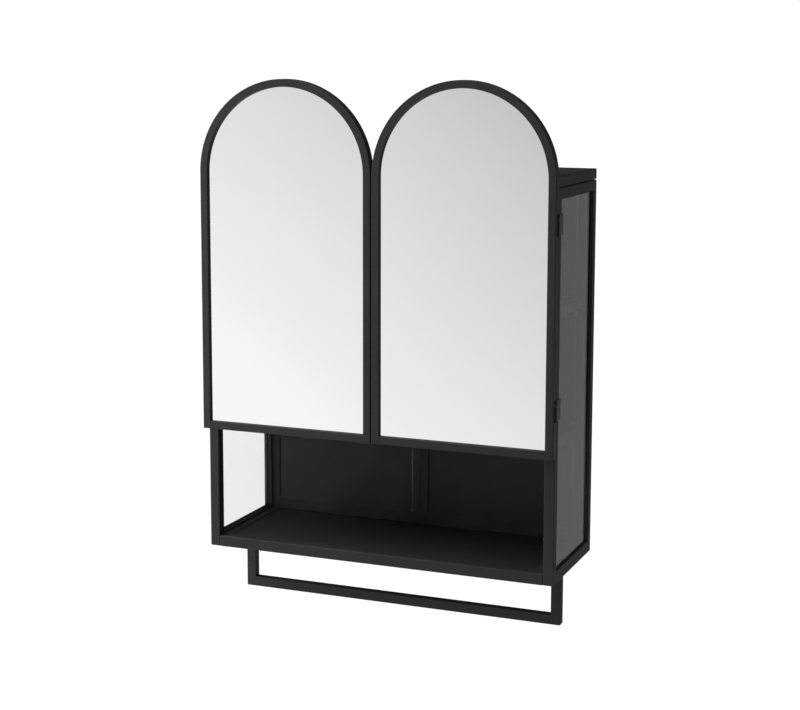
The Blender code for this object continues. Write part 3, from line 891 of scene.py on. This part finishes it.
def buildHinge(sideName, level):
    look = hingeLook
    side = sides[sideName]
    tag = level + "_" + sideName
    label = level.title() + sideName.title()
    pinLow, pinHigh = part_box("hinge_pin_" + tag)
    pin = (pinLow + pinHigh) / 2
    bodyLow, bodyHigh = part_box("hinge_body_leaf_" + tag)
    leafLow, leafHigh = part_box("hinge_door_leaf_" + tag)
    washLow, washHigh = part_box("hinge_washer_" + tag)
    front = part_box("side_frame_" + sideName)[0].y
    frameFace = max(abs(corner.x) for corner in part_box("side_frame_" + sideName)) + gap - abs(pin.x)
    split = washLow.z - gap
    clear = look["radius"] + look["clear"]
    thick = look["leaf"]
    plates = [
        ((frameFace, pin.y, bodyLow.z), (frameFace + thick, front, split)),
        ((frameFace, pin.y + clear, bodyLow.z), (frameFace + thick, bodyHigh.y, bodyHigh.z)),
    ]
    buildLeaf("hingeBodyLeaf" + label, "hinge_body_leaf_" + tag, pin, bodyLow.z, split, plates, side)
    top = washHigh.z + gap
    plate, arm, armFront = look["doorPlate"], look["arm"], pin.y + look["armFront"]
    plates = [
        ((plate[0], armFront, leafLow.z), (plate[1], leafHigh.y, leafHigh.z)),
        ((arm[0], armFront, top), (arm[1], pin.y + look["armBack"], leafHigh.z)),
    ]
    buildLeaf("hingeDoorLeaf" + label, "hinge_door_leaf_" + tag, pin, top, leafHigh.z, plates, side)
    outer, bore = look["radius"], look["bore"]
    ring = [(bore, washLow.z), (outer, washLow.z), (outer, washHigh.z), (bore, washHigh.z)]
    ring = roundCorners(ring, look["washerEdge"], look["washerSteps"])
    washer = plainObject("hingeWasher" + label, skinned(turned((pin.x, pin.y, 0.0), ring), ring=True))
    place(washer, "hinge_washer_" + tag, "nylon")
    radius = (pinHigh.x - pinLow.x) / 2
    dome = []
    for angle in look["domeAngles"]:
        dome.append((radius * math.sin(angle), look["domeRise"] * (1 - math.cos(angle))))
    profile = [(out, pinLow.z + rise) for out, rise in dome]
    profile += [(out, pinHigh.z - rise) for out, rise in reversed(dome)]
    loops = turned((pin.x, pin.y, 0.0), profile, steps=look["boreSteps"])
    place(plainObject("hingePin" + label, skinned(loops)), "hinge_pin_" + tag, "plated_steel")


for sideName in sides:
    for level in levels:
        buildHinge(sideName, level)
print("hinges built")


# catches, strike plates, door stops, shelf pins

catchLook = {"edge": 0.0012, "segments": 3}


def buildCatch(sideName):
    node = "catch_housing_" + sideName
    item = plainObject("catchHousing" + sideName.title(), boxShape(*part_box(node)))
    soften(item, catchLook["edge"], catchLook["segments"])
    place(item, node, "plastic")
    dress("catch_magnet_" + sideName, "plated_steel")


strikeLook = {"corner": 0.0022, "edge": 0.0002, "segments": 2}


def buildStrike(sideName):
    look = strikeLook
    node = "strike_plate_" + sideName
    low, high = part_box(node)
    outline = roundedRectangle(low.x, high.x, low.z, high.z, look["corner"])
    loops = [[(x, y, z) for x, z in outline] for y in (low.y, high.y)]
    item = plainObject("strikePlate" + sideName.title(), skinned(loops))
    soften(item, look["edge"], look["segments"])
    place(item, node, "plated_steel")


# a soft dome: the top is a share of the foot's radius, and the cap closes the middle
stopLook = {"cap": 0.0008, "top": 0.86, "bends": (0, 0.0008, 0.0001, 0), "bendSteps": 4, "steps": 32}


def buildStop(sideName, level):
    look = stopLook
    node = "door_stop_" + level + "_" + sideName
    low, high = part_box(node)
    centre = middle(node)
    radius, tall = (high.x - low.x) / 2, high.y - low.y
    dome = [(look["cap"], tall), (radius * look["top"], tall), (radius, 0.0), (look["cap"], 0.0)]
    dome = roundCorners(dome, look["bends"], look["bendSteps"], closed=False)
    loops = turned((centre.x, low.y, centre.z), dome, "Y", look["steps"])
    place(plainObject("doorStop" + level.title() + sideName.title(), skinned(loops)), node, "rubber")


# a collar against the frame, then a thinner shank; its radius is a share of the collar's
shelfPinLook = {
    "cap": 0.0005, "collar": 0.0012, "shoulder": 0.0016, "shank": 0.82,
    "bends": (0, 0.0002, 0.0001, 0.0001, 0.0003, 0), "bendSteps": 3, "steps": 24,
}


def buildShelfPin(sideName, end):
    look = shelfPinLook
    node = "shelf_pin_" + end + "_" + sideName
    low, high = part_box(node)
    centre = middle(node)
    radius, length = (high.z - low.z) / 2, high.x - low.x
    shank = radius * look["shank"]
    profile = [
        (look["cap"], 0.0), (radius, 0.0), (radius, look["collar"]),
        (shank, look["shoulder"]), (shank, length), (look["cap"], length),
    ]
    profile = roundCorners(profile, look["bends"], look["bendSteps"], closed=False)
    side = sides[sideName]
    start = high.x if side > 0 else low.x
    profile = [(out, -side * along) for out, along in profile]
    loops = turned((start, centre.y, centre.z), profile, "X", look["steps"])
    place(plainObject("shelfPin" + end.title() + sideName.title(), skinned(loops)), node, "plated_steel")


for sideName in sides:
    buildCatch(sideName)
    buildStrike(sideName)
    for level in levels:
        buildStop(sideName, level)
    for end in ("front", "rear"):
        buildShelfPin(sideName, end)
print("fittings built")


# studio

floorLook = {
    "height": -2.0, "radius": 2.0, "thickness": 0.02, "tone": (0.70, 0.70, 0.695), "roughness": 0.85,
    "glow": 0.85, "steps": 96,
}


def buildFloor():
    look = floorLook
    profile = [(look["radius"], 0.0), (look["radius"], -look["thickness"])]
    disc = turned((0.0, 0.0, look["height"]), profile, steps=look["steps"])
    item = plainObject("studioFloor", skinned(disc))
    finish = newFinish("paleFloor", look["tone"], look["roughness"])[0]
    shader = finish.node_tree.nodes["Principled BSDF"]
    feed(finish.node_tree, shader.inputs["Emission Color"], white)
    feed(finish.node_tree, shader.inputs["Emission Strength"], look["glow"])
    item.data.materials.append(finish)


buildFloor()

# the room is brightest low at the front left and faint behind; each stop is a place along the
# slope, from -1 to 1, and a brightness that is at most the peak
roomLook = {
    "slope": (-0.686, 0.0, -0.727),
    "front": (
        (-1.0, 0.28), (-0.4, 0.16), (0.0, 0.17), (0.16, 0.43), (0.237, 0.60), (0.33, 0.775),
        (0.40, 0.895), (0.47, 0.985), (0.60, 0.70), (0.80, 0.28), (1.0, 0.18),
    ),
    "peak": 2.0,
    "rear": (0.25, 0.06),
    "rearSpan": (-0.05, 0.06),
    "blendSpan": (-0.3, 0.3),
    "backdrop": 1.05,
    "firstBounce": 0.5,
}


def lightRoom():
    look = roomLook
    world = bpy.data.worlds.new("studioRoom")
    scene.world = world
    world.use_nodes = True
    tree = world.node_tree
    background = tree.nodes["Background"]
    direction = tree.nodes.new("ShaderNodeTexCoord").outputs["Generated"]
    along = tree.nodes.new("ShaderNodeVectorMath")
    along.operation = "DOT_PRODUCT"
    along.inputs[1].default_value = look["slope"]
    tree.links.new(direction, along.inputs[0])
    ramp = tree.nodes.new("ShaderNodeFloatCurve")
    curve = ramp.mapping.curves[0]
    stops = [((slope + 1) / 2, brightness / look["peak"]) for slope, brightness in look["front"]]
    curve.points[0].location = stops[0]
    curve.points[1].location = stops[-1]
    for stop in stops[1:-1]:
        curve.points.new(*stop)
    ramp.mapping.update()
    feed(tree, ramp.inputs["Value"], spread(tree, along.outputs["Value"], -1.0, 1.0))
    front = calculate(tree, "MULTIPLY", ramp.outputs["Value"], look["peak"])
    axes = tree.nodes.new("ShaderNodeSeparateXYZ")
    tree.links.new(direction, axes.inputs["Vector"])
    rear = spread(tree, axes.outputs["Z"], *look["rearSpan"], *look["rear"])
    blend = blendValues(tree, spread(tree, axes.outputs["Y"], *look["blendSpan"]), front, rear)
    # straight to the lens, and through the panes, the backdrop is plain white
    path = tree.nodes.new("ShaderNodeLightPath")
    bounced = calculate(tree, "ADD", path.outputs["Glossy Depth"], path.outputs["Diffuse Depth"])
    plain = calculate(tree, "LESS_THAN", bounced, look["firstBounce"])
    feed(tree, background.inputs["Strength"], blendValues(tree, plain, blend, look["backdrop"]))
    feed(tree, background.inputs["Color"], white)


lightRoom()

softBoxes = {
    "overheadBox": {"at": (-0.9, -1.0, 1.8), "aim": (0.0, -0.1, 0.0), "size": (1.8, 1.8), "power": 54.0},
    "leftBox": {"at": (-1.30, -0.40, -0.30), "aim": (-0.1, -0.1, -0.35), "size": (0.9, 0.9), "power": 23.0},
}


def hangLights():
    for name, look in softBoxes.items():
        lamp = bpy.data.lights.new(name, "AREA")
        lamp.shape = "RECTANGLE"
        lamp.size, lamp.size_y = look["size"]
        lamp.energy = look["power"]
        item = bpy.data.objects.new(name, lamp)
        item.location = look["at"]
        towards = Vector(look["aim"]) - Vector(look["at"])
        item.rotation_euler = towards.to_track_quat("-Z", "Y").to_euler()
        scene.collection.objects.link(item)


hangLights()
scene.view_settings.view_transform = "Standard"
scene.view_settings.look = "None"
print("studio lit")


# camera

cameraLook = {
    "at": (1.0147, -2.6123, 0.2219), "yaw": 22.047, "pitch": -7.742, "roll": 0.126,
    "lens": 75.108, "sensor": 36.0, "rise": -0.08,
}


def placeCamera():
    look = cameraLook
    data = bpy.data.cameras.new("studioCamera")
    data.lens = look["lens"]
    data.sensor_width = look["sensor"]
    data.shift_y = look["rise"]
    item = bpy.data.objects.new("studioCamera", data)
    item.location = look["at"]
    yaw, pitch, roll = (math.radians(look[key]) for key in ("yaw", "pitch", "roll"))
    forward = Vector((-math.sin(yaw) * math.cos(pitch), math.cos(yaw) * math.cos(pitch), math.sin(pitch)))
    sideways = Vector((math.cos(yaw), math.sin(yaw), 0.0))
    above = sideways.cross(forward)
    right = sideways * math.cos(roll) + above * math.sin(roll)
    up = above * math.cos(roll) - sideways * math.sin(roll)
    turn = item.matrix_world.to_3x3()
    for row in range(3):
        turn[row] = (right[row], up[row], -forward[row])
    item.rotation_euler = turn.to_euler()
    scene.collection.objects.link(item)
    scene.camera = item


placeCamera()
print("camera placed")
